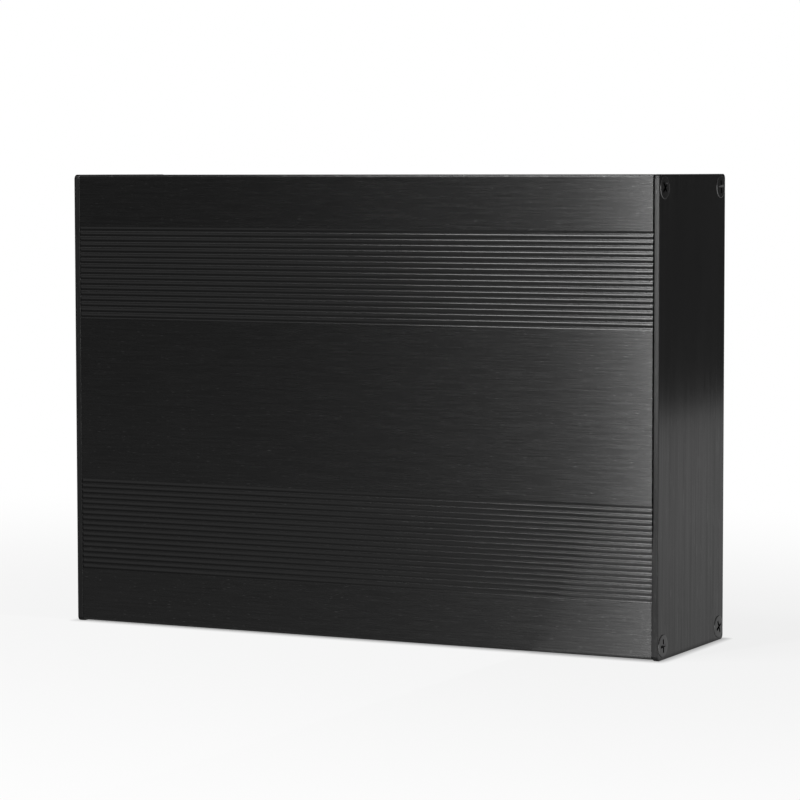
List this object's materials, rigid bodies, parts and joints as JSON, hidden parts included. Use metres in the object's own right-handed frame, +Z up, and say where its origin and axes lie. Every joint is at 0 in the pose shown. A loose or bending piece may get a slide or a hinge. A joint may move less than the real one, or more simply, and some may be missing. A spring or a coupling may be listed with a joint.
{
  "type": "aluminium project box",
  "caption": "Black anodised aluminium project box: fluted extruded half-shells lock together, and flat end plates held by countersunk corner screws close the ends.",
  "frame": {"origin": "middle of the footprint, on the surface that the box stands on, level with the end plates' lower edges", "axes": "+X along the box to the right-hand end plate, +Y from the front face to the rear face, +Z up"},
  "size_m": [0.2046, 0.0542, 0.1455],
  "materials": {
    "body_anodised": "black anodised, brushed along the length",
    "plate_anodised": "black anodised, brushed up and down",
    "screw_black": "blackened, half gloss"
  },
  "bodies": {
    "root": {"front_shell": "body_anodised", "rear_shell": "body_anodised", "left_end_plate": "plate_anodised", "right_end_plate": "plate_anodised", "left_plate_screws": "screw_black", "right_plate_screws": "screw_black"}
  },
  "joints": []
}
